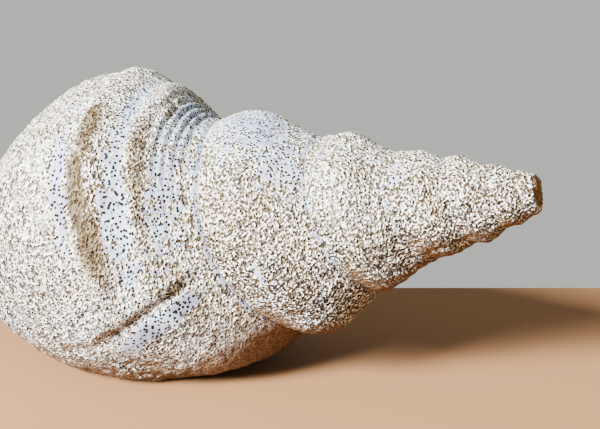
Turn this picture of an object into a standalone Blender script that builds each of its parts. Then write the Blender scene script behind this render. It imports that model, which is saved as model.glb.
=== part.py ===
"""A large horse conch shell, bleached and pitted, lying with its mouth down and its spire raised.

The shell grew as one piece, so it is one solid. It is described in its own coil frame, with the coil's axis
upright: height is measured down from the point where the spire's cone would close, and every cross-section
of a whorl is the one before it, turned and enlarged. Places on the shell are given by how far back they lie
from the lip, in degrees round the coil, and by how far across the whorl they lie, from its upper seam.
The finished solid is then tipped onto the places where such a shell rests.
"""

import math

import bmesh
import bpy
import numpy as np
from mathutils import Matrix, Vector

# Growth of the coil. Lengths are in metres.
GROWTH_PER_TURN = 1.384         # each whorl is this much larger than the one above it
SEAM_RADIUS = 0.0534            # coil radius of the seam where the lip meets the whorl above
SEAM_CONE = math.radians(17.7)  # half-angle of the cone that the seam winds down
SPIRE_CURVE = -0.028            # the spire is this little bit taller than a straight cone
TIP_RADIUS = 0.0053             # the spire is broken off where the seam is this far out
TIP_BROKEN_AT = 0.92            # turns from the oldest growth line to the plane of the break
TIP_EASE = 0.008                # below the break the whorls take this much height to round out
TIP_HOLLOW = 0.0015             # depth of the break
CANAL_END = 0.3410              # height of the canal's end below the closed cone's point
CANAL_ROOT_RADIUS = 0.0261      # half-width of the siphonal canal where it leaves the body whorl
CANAL_TIP_RADIUS = 0.0100       # half-width of the canal at its end
CANAL_ROOT_AT = 0.774           # where the body whorl has narrowed to the canal, as a share of the base
CANAL_NARROWING = 0.847

# Shape of a whorl between its two seams, as shares of the seam radius.
SPIRE_BULGE = 0.120             # how far the side stands out beyond the straight cone at the broken tip
WHORL_BULGE = 0.178             # the same on the last covered whorl
BODY_BULGE = 0.243              # the same on the last whorl, which nothing covers
BODY_BULGE_END = 1.70           # where the last whorl's side has come back to the straight taper
SHOULDER_AT = 0.534             # where the side stands out most, from the upper seam to the lower
RISE_POWER = 1.35               # the side leaves the upper seam slowly
FALL_POWER = 1.1
KNOBS_PER_TURN = 6.92           # rounded knobs along the shoulder
KNOB_RISE = 0.046               # how far a knob stands out
KNOB_START = 0.25               # turns the row of knobs round the coil, in radians of a knob's wave
KNOB_POWER = 1.4                # narrows the knobs against the gaps between them
YOUNG_KNOBS = 0.4               # rise of the oldest knobs, as a share of the full rise
FULL_KNOBS_TURNS = 2.0          # the knobs have their full rise from this many turns back
BODY_OPENS = 1.5                # radians over which the last whorl takes its own shape
RELIEF_OPENS = 0.35             # radians over which lumps cross the lower seam as it becomes uncovered
SEAM_EASE = 0.08                # lumps start this share of the whorl away from its seams

# Places where the seam wandered: degrees back from the lip, width in degrees, shift down in metres.
SEAM_SHIFTS = (
    (137.0, 30.0, 0.0022),
    (227.0, 30.0, 0.0035),
    (284.0, 26.0, -0.0025),
    (587.0, 30.0, 0.0014),
    (639.0, 32.0, -0.0034),
)
# Uneven growth: degrees back, share across, widths of both, rise in metres.
LUMPS = (
    (132.0, 0.74, 28.0, 0.22, 0.0024),
    (108.0, 0.22, 24.0, 0.12, -0.0024),
    (312.0, 0.98, 26.0, 0.36, -0.0105),
    (332.0, 0.42, 22.0, 0.20, 0.0024),
    (670.0, 0.56, 26.0, 0.26, 0.0030),
    (855.0, 0.76, 30.0, 0.20, -0.0018),
    (913.0, 0.45, 16.0, 0.22, 0.0016),
    (1036.0, 0.40, 34.0, 0.24, -0.0022),
    (1213.0, 0.70, 34.0, 0.24, -0.0024),
    (1381.0, 0.70, 40.0, 0.26, -0.0022),
)
# Spiral cords on the last whorl: share across, half-width, rise in metres. A negative rise is a furrow.
CORDS = (
    (0.35, 0.055, 0.0016),
    (0.47, 0.060, -0.0014),
    (0.66, 0.090, 0.0014),
    (0.90, 0.080, -0.0012),
)
CORDS_START = 314.0             # degrees back where the cords begin to rise
CORDS_FULL = 209.0

# An old break in growth, healed, runs down the last whorl as a groove behind a raised edge.
SCAR_BACK = 235.0               # degrees back from the lip, at the seam
SCAR_SLANT = 17.0               # degrees that growth lines near the scar lean back across the whorl
SCAR_LEAN_REACH = 75.0          # degrees over which that lean fades out
SCAR_LEAN_WIDTH = 0.4           # width of the lean's bell, as a share of its reach
SCAR_LEAN_FADE = 15.0           # degrees over which the bell's edge is faded to nothing
SCAR_WIDTH = 1.8                # half-width of the groove, in degrees
SCAR_DEPTH = 0.0015
SCAR_EDGE_RISE = 0.0009
SCAR_EDGE_AT = 2.2              # from the groove's middle to the edge's, in widths of the groove
SCAR_EDGE_WIDTH = 1.3           # width of the edge, in widths of the groove
SCAR_RISES = (0.02, 0.15)       # shares across between which the scar begins
SCAR_FADES = 0.9                # share across where it starts to fade
SCAR_END = 1.25                 # share across where it has faded

# The mouth.
LIP_THICKNESS = 0.0034
LIP_TOP_TAPER = 0.3                 # share of the whorl over which the lip thickens below its upper seam
LIP_END_TAPER = 0.2                 # and over which it thins out at the canal's end
LIP_LARGEST_SHARE = 0.45            # of the gap to the whorl behind it that the lip may fill
WALL_THICKNESS = 0.0060
MOUTH_DEPTH = math.radians(250.0)   # how far the hollow winds back into the shell
MOUTH_OPENS = math.radians(35.0)    # over which its outline turns from the lip's into an oval
MOUTH_TOP = 0.14                    # top of the oval, as a share of the whorl
MOUTH_BOTTOM = 0.50                 # bottom of the oval, as a share of the way to the canal's end
COLUMELLA_SHARE = 0.80              # the hollow's inner side, as a share of the covered whorl's radius
MOUTH_SIDE_POWER = 0.7              # below 1 the oval's sides are flatter than an ellipse's
MOUTH_RING_POWER = 1.5              # above 1 the rings lie closer together near the lip
MOUTH_LEAST_GAP = 0.004

# How the shell lies: turned about its own axis, then its spire lifted from the level.
ROLL = math.radians(43.1)
LIFT = math.radians(11.9)
WEAR_HEIGHT = -0.0878            # the underside is worn flat at this height, in the coil frame tipped over

# Bleached shell: chalky and cream white.
SHELL_COLOUR = (0.67, 0.61, 0.53, 1.0)
SHELL_ROUGHNESS = 0.85

# Fineness of the mesh.
STEPS_PER_TURN = 40
SCAR_STEPS = (-6.0, -3.0, 0.0, 3.0, 6.0)  # extra growth lines near the scar, in degrees from it
SCAR_CLEARANCE = 1.0            # degrees that other growth lines keep from those
WHORL_COLUMNS = 9
BASE_COLUMNS = 18
MOUTH_RINGS = 14
SAME_PLACE = 1e-6               # points closer than this are one

TURN = 2.0 * math.pi
RATE = math.log(GROWTH_PER_TURN) / TURN
CONE_SLOPE = math.tan(SEAM_CONE)
WHOLE_TURNS = 7.0               # the coil's angle at the lip, which keeps every angle positive
LIP_ANGLE = TURN * WHOLE_TURNS
LAST_TURN = LIP_ANGLE - TURN
FIRST_BACK = math.degrees(math.log(SEAM_RADIUS / TIP_RADIUS) / RATE)
FIRST_ANGLE = LIP_ANGLE - math.radians(FIRST_BACK)


def smooth_step(value, low, high):
    share = np.clip((value - low) / (high - low), 0.0, 1.0)
    return share * share * (3.0 - 2.0 * share)


def bell(value, middle, width):
    return np.exp(-0.5 * ((value - middle) / width) ** 2)


def degrees_back(turned):
    return np.degrees(LIP_ANGLE - turned)


def seam_radius(turned):
    return SEAM_RADIUS * np.exp(RATE * (turned - LIP_ANGLE))


def seam_height(turned):
    radius = seam_radius(turned)
    height = radius / CONE_SLOPE * (radius / SEAM_RADIUS) ** SPIRE_CURVE
    for back, width, shift in SEAM_SHIFTS:
        height = height + shift * bell(degrees_back(turned), back, width)
    return height


TIP_HEIGHT = float(seam_height(FIRST_ANGLE + TIP_BROKEN_AT * TURN))


def side_bulge(across, end):
    """How far the side stands out, from 0 at the upper seam to 1 at the shoulder and 0 again at end."""
    rising = np.sin(0.5 * math.pi * np.clip(across / SHOULDER_AT, 0.0, 1.0)) ** RISE_POWER
    past_shoulder = np.clip((across - SHOULDER_AT) / (end - SHOULDER_AT), 0.0, 1.0)
    falling = np.cos(0.5 * math.pi * past_shoulder) ** FALL_POWER
    return np.where(across < SHOULDER_AT, rising, falling)


def knob_wave(turned):
    full_from = LIP_ANGLE - FULL_KNOBS_TURNS * TURN
    grown = YOUNG_KNOBS + (1.0 - YOUNG_KNOBS) * smooth_step(turned, FIRST_ANGLE, full_from)
    return grown * (0.5 + 0.5 * np.cos(KNOBS_PER_TURN * turned + KNOB_START)) ** KNOB_POWER


def relief(turned, across):
    """Lumps, cords and the scar, in metres outwards."""
    back = degrees_back(turned)
    rise = 0.0 * across
    for lump_back, lump_across, back_width, across_width, height in LUMPS:
        rise = rise + height * bell(back, lump_back, back_width) * bell(across, lump_across, across_width)
    corded = smooth_step(-back, -CORDS_START, -CORDS_FULL)
    for cord_across, half_width, height in CORDS:
        rise = rise + corded * height * bell(across, cord_across, half_width)
    strength = smooth_step(across, *SCAR_RISES) * (1.0 - smooth_step(across, SCAR_FADES, SCAR_END))
    groove = -SCAR_DEPTH * bell(back, SCAR_BACK, SCAR_WIDTH)
    edge_back = SCAR_BACK - SCAR_EDGE_AT * SCAR_WIDTH
    edge = SCAR_EDGE_RISE * bell(back, edge_back, SCAR_EDGE_WIDTH * SCAR_WIDTH)
    return rise + strength * (groove + edge)


def profile(turned, across):
    """Coil radius and height of the outside. across runs from the upper seam, 0, past the lower seam's
    place, 1, to the end of the canal, 2."""
    seam = seam_radius(turned)
    upper = seam_height(turned)
    lower = seam_height(turned + TURN)
    base = np.clip(across - 1.0, 0.0, 1.0)
    straight = 1.0 + (GROWTH_PER_TURN - 1.0) * np.clip(across, 0.0, 1.0)
    opened = smooth_step(turned, LAST_TURN, LAST_TURN + BODY_OPENS)
    grown = np.clip((turned - FIRST_ANGLE) / (LAST_TURN - FIRST_ANGLE), 0.0, 1.0)
    knobs = KNOB_RISE * knob_wave(turned)
    covered = (SPIRE_BULGE + (WHORL_BULGE - SPIRE_BULGE) * grown + knobs) * side_bulge(across, 1.0)
    uncovered = (BODY_BULGE + knobs) * side_bulge(across, BODY_BULGE_END)
    bulge = (1.0 - opened) * covered + opened * uncovered
    down = upper + (lower - upper) * np.clip(across, 0.0, 1.0) + (CANAL_END - lower) * base
    canal = CANAL_ROOT_RADIUS + (CANAL_TIP_RADIUS - CANAL_ROOT_RADIUS) * base
    narrowed = (0.5 + 0.5 * np.cos(math.pi * np.clip(base / CANAL_ROOT_AT, 0.0, 1.0))) ** CANAL_NARROWING
    out = np.where(across <= 1.0, seam * straight, canal + (seam * straight - canal) * narrowed)
    bare = smooth_step(turned, LAST_TURN, LAST_TURN + RELIEF_OPENS)
    shown = bare + (1.0 - bare) * smooth_step(1.0 - across, 0.0, SEAM_EASE)
    raised = seam * bulge + relief(turned, across) * smooth_step(across, 0.0, SEAM_EASE) * shown
    out = out + raised * smooth_step(down, TIP_HEIGHT, TIP_HEIGHT + TIP_EASE)
    return out, np.maximum(down, TIP_HEIGHT)


def lean(turned, across):
    """How far growth lines lean back beside the scar, in radians."""
    away = np.abs(degrees_back(turned) - SCAR_BACK)
    near = bell(away, 0.0, SCAR_LEAN_WIDTH * SCAR_LEAN_REACH)
    near = near * smooth_step(SCAR_LEAN_REACH - away, 0.0, SCAR_LEAN_FADE)
    return -math.radians(SCAR_SLANT) * np.minimum(across, SCAR_END) * near


def place(turned, out, down):
    """A point in the coil frame: the axis is Z, with the spire up."""
    return Vector((out * math.cos(turned), -out * math.sin(turned), -down))


def growth_lines():
    """Where the rows of points lie, in degrees back from the lip, oldest first."""
    step = 360.0 / STEPS_PER_TURN
    one_turn = [k * step for k in range(STEPS_PER_TURN)]
    one_turn = [back for back in one_turn if abs(back - SCAR_BACK) > SCAR_STEPS[-1] + SCAR_CLEARANCE]
    one_turn = sorted(one_turn + [SCAR_BACK + offset for offset in SCAR_STEPS])
    whole_turns = math.ceil(FIRST_BACK / 360.0)
    backs = [360.0 * turn + back for turn in range(whole_turns) for back in one_turn]
    return [back for back in reversed(backs) if back <= FIRST_BACK]


def add_outside(mesh):
    """The outside: one row of points for each growth line, and from the upper seam down in each row."""
    rows = []
    for back in growth_lines():
        turned = LIP_ANGLE - math.radians(back)
        across = np.linspace(0.0, 1.0, WHORL_COLUMNS)
        if back <= 360.0:
            across = np.concatenate([across, np.linspace(1.0, 2.0, BASE_COLUMNS)[1:]])
        out, down = profile(turned, across)
        leaning = turned + lean(turned, across)
        rows.append([mesh.verts.new(place(*point)) for point in zip(leaning, out, down)])
    for before, after in zip(rows, rows[1:]):
        for j in range(min(len(before), len(after)) - 1):
            mesh.faces.new((before[j], before[j + 1], after[j + 1], after[j]))
    return rows


def mouth_section(back, share):
    """The hollow's cross-section, as a ring of coil radii and heights. back is how far it lies behind the
    lip, and share runs from 0, an outline that follows the lip and the whorl behind it, to 1, an oval."""
    wall_across = np.linspace(1.0, 2.0, BASE_COLUMNS)
    lip_across = np.concatenate([np.linspace(0.0, 1.0, WHORL_COLUMNS), wall_across[1:]])
    lip_out, lip_down = profile(LIP_ANGLE - back, lip_across)
    wall_out, wall_down = profile(LAST_TURN - back, wall_across)
    gap = np.maximum(lip_out - np.interp(lip_down, wall_down, wall_out), 0.0)
    tapered = smooth_step(lip_across, 0.0, LIP_TOP_TAPER)
    tapered = tapered * smooth_step(2.0 - lip_across, 0.0, LIP_END_TAPER)
    inner_out = lip_out - np.minimum(LIP_THICKNESS * tapered, LIP_LARGEST_SHARE * gap)
    follow_out = np.concatenate([inner_out, wall_out[-2:0:-1]])
    follow_down = np.concatenate([lip_down, wall_down[-2:0:-1]])
    top = lip_down[0] + MOUTH_TOP * (lip_down[WHORL_COLUMNS - 1] - lip_down[0])
    bottom = lip_down[0] + MOUTH_BOTTOM * (CANAL_END - lip_down[0])
    lip_steps = len(lip_across) - 1
    angle = np.concatenate([
        np.linspace(0.0, math.pi, lip_steps, endpoint=False),
        np.linspace(math.pi, TURN, len(follow_out) - lip_steps, endpoint=False),
    ])
    oval_down = 0.5 * (top + bottom) - 0.5 * (bottom - top) * np.cos(angle)
    outer = np.interp(oval_down, lip_down, lip_out) - WALL_THICKNESS
    inner = np.minimum(np.interp(oval_down, wall_down, wall_out) * COLUMELLA_SHARE, outer - MOUTH_LEAST_GAP)
    side = np.sign(np.sin(angle)) * np.abs(np.sin(angle)) ** MOUTH_SIDE_POWER
    oval_out = 0.5 * (outer + inner) + 0.5 * (outer - inner) * side
    return follow_out + (oval_out - follow_out) * share, follow_down + (oval_down - follow_down) * share


def add_mouth(mesh, rows):
    """The lip's edge and the hollow that winds back into the shell from it."""
    lip = rows[-1]
    wall = next(row for row in rows if len(row) > WHORL_COLUMNS)[WHORL_COLUMNS - 1:]
    out, down = mouth_section(0.0, 0.0)
    edge = [mesh.verts.new(place(LIP_ANGLE, *point)) for point in zip(out[1:len(lip) - 1], down[1:])]
    ring = [lip[0], *edge, lip[-1], *wall[-2:0:-1]]
    mesh.faces.new((lip[0], lip[1], ring[1]))
    for j in range(1, len(lip) - 2):
        mesh.faces.new((lip[j], lip[j + 1], ring[j + 1], ring[j]))
    mesh.faces.new((lip[-2], lip[-1], ring[len(lip) - 2]))
    for i in range(1, MOUTH_RINGS + 1):
        back = MOUTH_DEPTH * (i / MOUTH_RINGS) ** MOUTH_RING_POWER
        out, down = mouth_section(back, float(smooth_step(back, 0.0, MOUTH_OPENS)))
        after = [mesh.verts.new(place(LIP_ANGLE - back, *point)) for point in zip(out, down)]
        for j in range(len(ring)):
            k = (j + 1) % len(ring)
            mesh.faces.new((ring[j], ring[k], after[k], after[j]))
        ring = after
    close_with_fan(mesh, ring, 0.0)


def close_with_fan(mesh, ring, sunk):
    """Closes a ring of points with triangles round its middle, which is sunk along the coil's axis."""
    middle = sum((v.co for v in ring), Vector()) / len(ring)
    middle = mesh.verts.new(middle - Vector((0.0, 0.0, sunk)))
    for j in range(len(ring)):
        mesh.faces.new((ring[j], ring[(j + 1) % len(ring)], middle))


def close_ends(mesh):
    """The broken tip and the end of the canal."""
    open_edges = [e for e in mesh.edges if e.is_boundary]
    filled = bmesh.ops.holes_fill(mesh, edges=open_edges, sides=0)["faces"]
    for face in list(filled):
        sunk = TIP_HOLLOW if face.calc_center_median().z > -0.5 * CANAL_END else -TIP_HOLLOW
        ring = list(face.verts)
        mesh.faces.remove(face)
        close_with_fan(mesh, ring, sunk)


def build_shell():
    mesh = bmesh.new()
    rows = add_outside(mesh)
    add_mouth(mesh, rows)
    bmesh.ops.remove_doubles(mesh, verts=mesh.verts, dist=SAME_PLACE)
    close_ends(mesh)
    bmesh.ops.recalc_face_normals(mesh, faces=mesh.faces)
    return mesh


def lie_down(mesh):
    turn = Matrix.Rotation(ROLL, 4, "Z")
    tip_over = Matrix.Rotation(math.radians(90.0) - LIFT, 4, "Y")
    bmesh.ops.transform(mesh, matrix=tip_over @ turn, verts=mesh.verts)


def wear_flat(mesh):
    """Cuts off what reaches below the flats that the shell rests on, and closes them."""
    bmesh.ops.bisect_plane(
        mesh,
        geom=[*mesh.verts, *mesh.edges, *mesh.faces],
        dist=SAME_PLACE,
        plane_co=(0.0, 0.0, WEAR_HEIGHT),
        plane_no=(0.0, 0.0, -1.0),
        clear_outer=True,
    )
    cut_edges = [e for e in mesh.edges if e.is_boundary]
    bmesh.ops.holes_fill(mesh, edges=cut_edges, sides=0)


def stand_on_origin(mesh):
    """Moves the worn flats to height 0, with the origin below the middle of the shell's outline."""
    points = np.array([v.co for v in mesh.verts])
    middle = 0.5 * (points.min(axis=0) + points.max(axis=0))
    move = Vector((-middle[0], -middle[1], -WEAR_HEIGHT))
    bmesh.ops.translate(mesh, verts=mesh.verts, vec=move)


def shell_material():
    material = bpy.data.materials.new("bleached shell")
    material.use_nodes = True
    surface = material.node_tree.nodes["Principled BSDF"]
    surface.inputs["Base Color"].default_value = SHELL_COLOUR
    surface.inputs["Roughness"].default_value = SHELL_ROUGHNESS
    surface.inputs["Metallic"].default_value = 0.0
    return material


def main():
    for obj in list(bpy.data.objects):
        bpy.data.objects.remove(obj)
    mesh = build_shell()
    lie_down(mesh)
    wear_flat(mesh)
    stand_on_origin(mesh)
    data = bpy.data.meshes.new("shell")
    mesh.to_mesh(data)
    mesh.free()
    data.shade_smooth()
    data.materials.append(shell_material())
    obj = bpy.data.objects.new("shell", data)
    bpy.context.scene.collection.objects.link(obj)


main()
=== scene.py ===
# %% [markdown]
# # A horse conch shell lying on a table
# A horse conch grows its shell as one piece: a tube that winds round an axis and widens as it goes.
# This one is old. It was bleached by the sun and bored all over by small animals, so its surface is a
# crust of cream nodules and brown pits, with some smooth lilac-grey places between them.
# The lesson builds that one piece. First comes the law by which the shell grew, then flat sheets that the
# law bends onto the coil, then the relief, the finish, and the table, the light and the camera.

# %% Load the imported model
import math

import bmesh
import bpy
import numpy as np
from mathutils import Matrix, Vector, noise


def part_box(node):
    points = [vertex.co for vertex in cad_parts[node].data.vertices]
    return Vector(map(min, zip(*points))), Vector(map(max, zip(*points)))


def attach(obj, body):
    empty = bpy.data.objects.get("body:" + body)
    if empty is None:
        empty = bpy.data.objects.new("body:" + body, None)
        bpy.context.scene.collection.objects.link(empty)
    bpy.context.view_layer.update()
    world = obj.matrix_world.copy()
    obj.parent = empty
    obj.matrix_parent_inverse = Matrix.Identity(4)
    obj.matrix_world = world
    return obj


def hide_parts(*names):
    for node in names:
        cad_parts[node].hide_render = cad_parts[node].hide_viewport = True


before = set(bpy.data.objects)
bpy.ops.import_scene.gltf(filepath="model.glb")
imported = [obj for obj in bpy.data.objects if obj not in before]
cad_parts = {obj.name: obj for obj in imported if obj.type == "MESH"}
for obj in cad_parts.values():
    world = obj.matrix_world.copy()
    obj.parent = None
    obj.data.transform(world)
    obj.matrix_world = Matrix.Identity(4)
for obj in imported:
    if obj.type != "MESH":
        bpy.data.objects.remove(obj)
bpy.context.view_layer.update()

# %% [markdown]
# ## The law of growth
# A shell adds to its lip as the animal grows, and it keeps its shape while it does, so each whorl is the one
# before it, enlarged by the same factor. That makes the seam between whorls a spiral on a cone. One could
# model a few whorls by hand, but the law gives all seven at once, with the same numbers as the solid has.
# Places are given by how far back they lie from the lip, in degrees round the coil, and by how far across
# the whorl they lie: 0 at its upper seam, 1 at its lower seam, and 2 at the end of the siphonal canal, the
# long spout through which the animal drew in water.

# %% Growth of the coil, in metres
GROWTH_PER_TURN = 1.384
SEAM_RADIUS = 0.0534            # coil radius of the seam where the lip meets the whorl above
SEAM_CONE = math.radians(17.7)  # half-angle of the cone that the seam winds down
SPIRE_CURVE = -0.028
TIP_RADIUS = 0.0053             # the spire is broken off where the seam is this far out
TIP_BROKEN_AT = 0.92            # turns from the oldest growth line to the plane of the break
TIP_EASE = 0.008                # below the break the whorls take this much height to round out
# Places where the seam wandered: degrees back, width in degrees, shift down in metres.
SEAM_SHIFTS = (
    (137.0, 30.0, 0.0022),
    (227.0, 30.0, 0.0035),
    (284.0, 26.0, -0.0025),
    (587.0, 30.0, 0.0014),
    (639.0, 32.0, -0.0034),
)
TURN = 2.0 * math.pi
RATE = math.log(GROWTH_PER_TURN) / TURN
FIRST_BACK = math.degrees(math.log(SEAM_RADIUS / TIP_RADIUS) / RATE)


def smooth_step(value, low, high):
    share = np.clip((value - low) / (high - low), 0.0, 1.0)
    return share * share * (3.0 - 2.0 * share)


def bell(value, middle, width):
    return np.exp(-0.5 * ((value - middle) / width) ** 2)


def seam_radius(back):
    return SEAM_RADIUS * np.exp(-RATE * np.radians(back))


def seam_height(back):
    radius = seam_radius(back)
    height = radius / math.tan(SEAM_CONE) * (radius / SEAM_RADIUS) ** SPIRE_CURVE
    for middle, width, shift in SEAM_SHIFTS:
        height = height + shift * bell(back, middle, width)
    return height


TIP_HEIGHT = float(seam_height(FIRST_BACK - 360.0 * TIP_BROKEN_AT))
print(f"{FIRST_BACK / 360.0:.2f} turns from the lip to the broken tip, {1000.0 * TIP_HEIGHT:.1f} mm down")

# %% [markdown]
# ## The side of a whorl
# Between its seams the side swells to a shoulder, which carries rounded knobs, about seven to a turn. A
# profile could be drawn by hand, but two quarter waves, raised to a power, meet at the shoulder without a
# crease and need only four numbers.

# %% Shape of a whorl, as shares of the seam radius
SPIRE_BULGE = 0.120
WHORL_BULGE = 0.178
BODY_BULGE = 0.243
BODY_BULGE_END = 1.70
SHOULDER_AT = 0.534
RISE_POWER = 1.35               # the side leaves the upper seam slowly
FALL_POWER = 1.1
KNOBS_PER_TURN = 6.92
KNOB_RISE = 0.046
KNOB_START = 0.25               # radians of a knob's wave, at the lip
KNOB_POWER = 1.4                # narrows the knobs against the gaps between them
YOUNG_KNOBS = 0.4               # rise of the oldest knobs, as a share of the full rise
FULL_KNOBS_BACK = 720.0         # younger knobs than this, in degrees back, have their full rise
WHOLE_TURNS = 7.0               # the knobs are counted from this many turns behind the lip
QUARTER = 0.5 * math.pi         # radians of a quarter wave


def side_bulge(across, end):
    rising = np.sin(QUARTER * np.clip(across / SHOULDER_AT, 0.0, 1.0)) ** RISE_POWER
    past_shoulder = np.clip((across - SHOULDER_AT) / (end - SHOULDER_AT), 0.0, 1.0)
    falling = np.cos(QUARTER * past_shoulder) ** FALL_POWER
    return np.where(across < SHOULDER_AT, rising, falling)


def knobs(back):
    grown = YOUNG_KNOBS + (1.0 - YOUNG_KNOBS) * smooth_step(-back, -FIRST_BACK, -FULL_KNOBS_BACK)
    angle = KNOB_START - KNOBS_PER_TURN * np.radians(back) + KNOBS_PER_TURN * WHOLE_TURNS * TURN
    wave = 0.5 + 0.5 * np.cos(angle)
    return KNOB_RISE * grown * wave ** KNOB_POWER


knob_height = 1000.0 * KNOB_RISE * SEAM_RADIUS
print(f"a knob every {360.0 / KNOBS_PER_TURN:.0f} degrees, {knob_height:.1f} mm high near the lip")

# %% [markdown]
# ## Lumps, cords and the scar
# No whorl is quite regular. Growth swelled in some places and sank in others, and low cords and furrows run
# along the last whorl. Once its lip broke off at a slant and healed, which left a groove with a raised edge.
# Sculpting would do for one shell. Here each mark is a soft bell of its own height, because the real ones
# fade out too, and because the solid has the same numbers.

# %% Lumps, cords and the scar, in degrees back, shares across and metres
LUMPS = (                       # back, across, width of both, rise
    (132.0, 0.74, 28.0, 0.22, 0.0024),
    (108.0, 0.22, 24.0, 0.12, -0.0024),
    (312.0, 0.98, 26.0, 0.36, -0.0105),
    (332.0, 0.42, 22.0, 0.20, 0.0024),
    (670.0, 0.56, 26.0, 0.26, 0.0030),
    (855.0, 0.76, 30.0, 0.20, -0.0018),
    (913.0, 0.45, 16.0, 0.22, 0.0016),
    (1036.0, 0.40, 34.0, 0.24, -0.0022),
    (1213.0, 0.70, 34.0, 0.24, -0.0024),
    (1381.0, 0.70, 40.0, 0.26, -0.0022),
)
CORDS = (                       # across, half-width, rise; a negative rise is a furrow
    (0.35, 0.055, 0.0016),
    (0.47, 0.060, -0.0014),
    (0.66, 0.090, 0.0014),
    (0.90, 0.080, -0.0012),
)
CORDS_START = 314.0
CORDS_FULL = 209.0
SCAR_BACK = 235.0
SCAR_SLANT = 17.0
SCAR_LEAN_REACH = 75.0
SCAR_WIDTH = 1.8
SCAR_DEPTH = 0.0015
SCAR_EDGE_RISE = 0.0009
SCAR_EDGE_AT = 2.2              # how far towards the lip its raised edge stands, in widths of the groove
SCAR_EDGE_WIDTH = 1.3           # width of that edge, in widths of the groove
SCAR_RISES = (0.02, 0.15)       # shares across between which the scar comes to its full depth
SCAR_FADES_FROM = 0.9
SCAR_END = 1.25
SCAR_LEAN_WIDTH = 0.4           # how wide the growth lines lean with the scar, as a share of their reach
SCAR_LEAN_FADE = 15.0


def scar_strength(across):
    return smooth_step(across, *SCAR_RISES) * (1.0 - smooth_step(across, SCAR_FADES_FROM, SCAR_END))


def large_relief(back, across):
    rise = 0.0 * across
    for lump_back, lump_across, back_width, across_width, height in LUMPS:
        rise = rise + height * bell(back, lump_back, back_width) * bell(across, lump_across, across_width)
    corded = smooth_step(-back, -CORDS_START, -CORDS_FULL)
    for cord_across, half_width, height in CORDS:
        rise = rise + corded * height * bell(across, cord_across, half_width)
    groove = -SCAR_DEPTH * bell(back, SCAR_BACK, SCAR_WIDTH)
    edge = SCAR_EDGE_RISE * bell(back, SCAR_BACK - SCAR_EDGE_AT * SCAR_WIDTH, SCAR_EDGE_WIDTH * SCAR_WIDTH)
    return rise + scar_strength(across) * (groove + edge)


def lean(back, across):
    near = bell(back, SCAR_BACK, SCAR_LEAN_WIDTH * SCAR_LEAN_REACH)
    near = near * smooth_step(SCAR_LEAN_REACH - np.abs(back - SCAR_BACK), 0.0, SCAR_LEAN_FADE)
    return SCAR_SLANT * np.minimum(across, SCAR_END) * near


print(len(LUMPS), "lumps and dents,", len(CORDS), "cords and furrows, and a scar", SCAR_BACK, "degrees back")

# %% [markdown]
# ## The outside
# Each place gets its distance from the axis of the coil and its height down from the cone's point. Down to
# the lower seam that is the swollen side. Below it the last whorl draws in to the canal, like half a wave.
# Where a later whorl covers the side, it has no lumps, or they would poke through.

# %% The outside, in metres, degrees and shares
CANAL_END = 0.3410              # height of the canal's end below the closed cone's point
CANAL_ROOT_RADIUS = 0.0261
CANAL_TIP_RADIUS = 0.0100
CANAL_ROOT_AT = 0.774           # where the last whorl has drawn in to the canal, as a share of the way down
CANAL_NARROWING = 0.847         # a power under 1 keeps the last whorl full for longer
BODY_OPENS = math.degrees(1.5)      # over this much growth the last whorl takes its own, fuller side
RELIEF_OPENS = math.degrees(0.35)
SEAM_EASE = 0.08                # share across over which lumps fade towards a seam


def outside(back, across):
    """The coil radius and the height of places on the outside."""
    seam = seam_radius(back)
    upper = seam_height(back)
    lower = seam_height(back - 360.0)
    base = np.clip(across - 1.0, 0.0, 1.0)
    straight = 1.0 + (GROWTH_PER_TURN - 1.0) * np.clip(across, 0.0, 1.0)
    opened = smooth_step(360.0 - back, 0.0, BODY_OPENS)
    grown = np.clip((FIRST_BACK - back) / (FIRST_BACK - 360.0), 0.0, 1.0)
    covered = SPIRE_BULGE + (WHORL_BULGE - SPIRE_BULGE) * grown + knobs(back)
    covered = covered * side_bulge(across, 1.0)
    uncovered = (BODY_BULGE + knobs(back)) * side_bulge(across, BODY_BULGE_END)
    bulge = (1.0 - opened) * covered + opened * uncovered
    down = upper + (lower - upper) * np.clip(across, 0.0, 1.0) + (CANAL_END - lower) * base
    canal = CANAL_ROOT_RADIUS + (CANAL_TIP_RADIUS - CANAL_ROOT_RADIUS) * base
    narrowed = (0.5 + 0.5 * np.cos(math.pi * np.clip(base / CANAL_ROOT_AT, 0.0, 1.0))) ** CANAL_NARROWING
    out = np.where(across <= 1.0, seam * straight, canal + (seam * straight - canal) * narrowed)
    bare = smooth_step(360.0 - back, 0.0, RELIEF_OPENS)
    shown = bare + (1.0 - bare) * smooth_step(1.0 - across, 0.0, SEAM_EASE)
    raised = seam * bulge + large_relief(back, across) * smooth_step(across, 0.0, SEAM_EASE) * shown
    out = out + raised * smooth_step(down, TIP_HEIGHT, TIP_HEIGHT + TIP_EASE)
    return out, np.maximum(down, TIP_HEIGHT)


print(f"the lip's shoulder stands {1000.0 * float(outside(0.0, SHOULDER_AT)[0]):.1f} mm from the axis")

# %% [markdown]
# ## The mouth
# The animal lived in the last whorl, so behind the lip a hollow winds back into the shell. Its wall is the
# lip on the outer side and the whorl before it on the inner side, and a few centimetres in it turns into
# a smooth oval tube round the columella, which is the pillar at the middle of the coil.

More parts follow.
